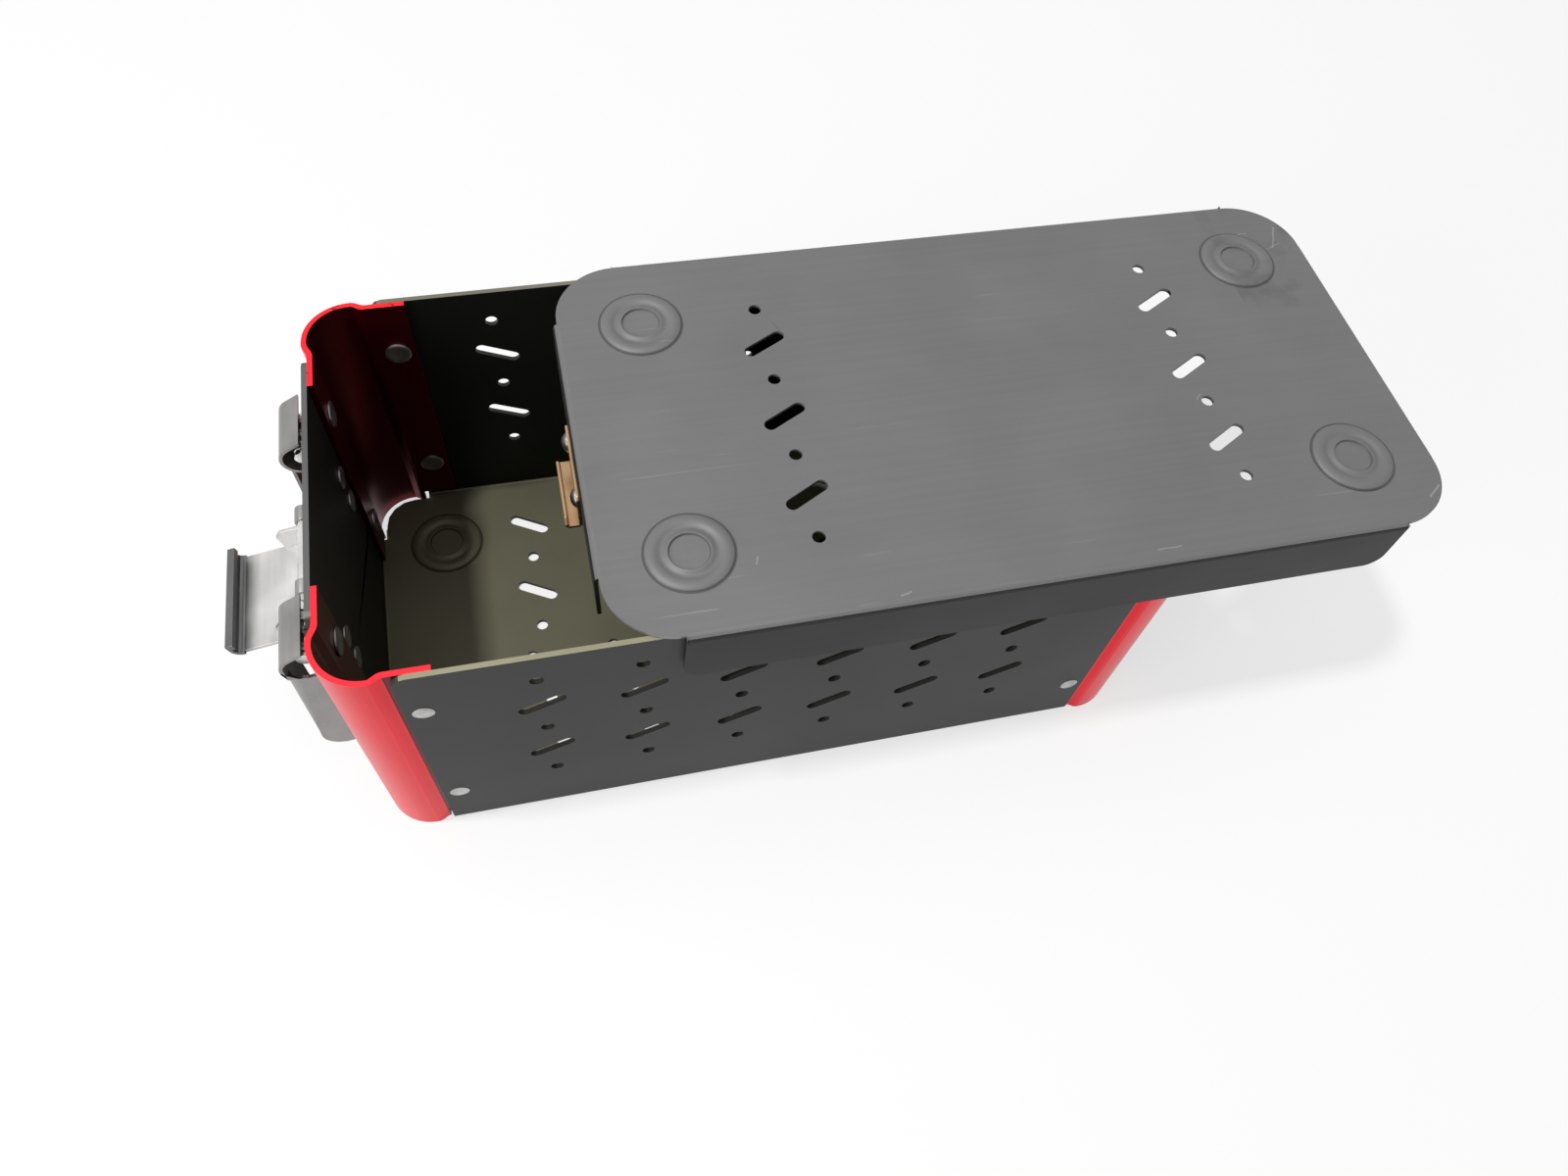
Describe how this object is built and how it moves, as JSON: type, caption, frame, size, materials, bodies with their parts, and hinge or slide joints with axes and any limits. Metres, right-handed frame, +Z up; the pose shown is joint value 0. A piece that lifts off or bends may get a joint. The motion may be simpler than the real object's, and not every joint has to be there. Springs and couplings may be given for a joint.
{
  "type": "perforated instrument case",
  "caption": "Rectangular perforated metal case with rounded red corner posts, a lift-off lid, and a drop handle and hooking clasp on each end.",
  "frame": {"origin": "centre of the tray's outline, on the floor's underside, where the case stands", "axes": "+X along the case towards the end that the lid overhangs, +Y across the case to the side away from the viewer, +Z up"},
  "size_m": [0.3787, 0.1404, 0.1037],
  "materials": {
    "grey_anodised": "matte anodised, fine rolled grain",
    "red_anodised": "satin red anodised",
    "rivet_aluminium": "bright",
    "stainless": "satin"
  },
  "bodies": {
    "tray": {"tray_shell": "grey_anodised", "corner_post_near_left": "red_anodised", "corner_post_far_left": "red_anodised", "corner_post_near_right": "red_anodised", "corner_post_far_right": "red_anodised", "post_rivets": "rivet_aluminium", "latch_base_left": "stainless", "latch_base_right": "stainless", "base_rivets_left": "rivet_aluminium", "base_rivets_right": "rivet_aluminium", "handle_pins_left": "stainless", "handle_pins_right": "stainless", "handle_springs_left": "stainless", "handle_springs_right": "stainless", "clasp_pin_left": "stainless", "clasp_pin_right": "stainless", "latch_bar_left": "stainless", "latch_bar_right": "stainless"},
    "lid": {"lid_panel": "grey_anodised", "keeper_left": "stainless", "keeper_right": "stainless", "keeper_rivets": "rivet_aluminium"},
    "handle_left": {"handle_left": "stainless"},
    "handle_right": {"handle_right": "stainless"},
    "clasp_left": {"clasp_lever_left": "stainless"},
    "clasp_right": {"clasp_lever_right": "stainless"}
  },
  "joints": [
    {"name": "lid_lift", "type": "slide", "parent": "tray", "child": "lid", "axis": [0, 0, 1], "range_m": [0, 0.14]},
    {"name": "handle_left_swing", "type": "hinge", "parent": "tray", "child": "handle_left", "pos_m": [-0.134, 0, 0.078], "axis": [0, 1, 0], "range_deg": [0, 15], "stiffness_Nm_per_rad": 0.02, "springref_deg": -34.38},
    {"name": "handle_right_swing", "type": "hinge", "parent": "tray", "child": "handle_right", "pos_m": [0.134, 0, 0.078], "axis": [0, -1, 0], "range_deg": [0, 15], "stiffness_Nm_per_rad": 0.02, "springref_deg": -34.38},
    {"name": "clasp_left_turn", "type": "hinge", "parent": "tray", "child": "clasp_left", "pos_m": [-0.1343, 0, 0.0555], "axis": [0, 1, 0], "range_deg": [0, 100]},
    {"name": "clasp_right_turn", "type": "hinge", "parent": "tray", "child": "clasp_right", "pos_m": [0.1343, 0, 0.0555], "axis": [0, -1, 0], "range_deg": [0, 100]}
  ]
}
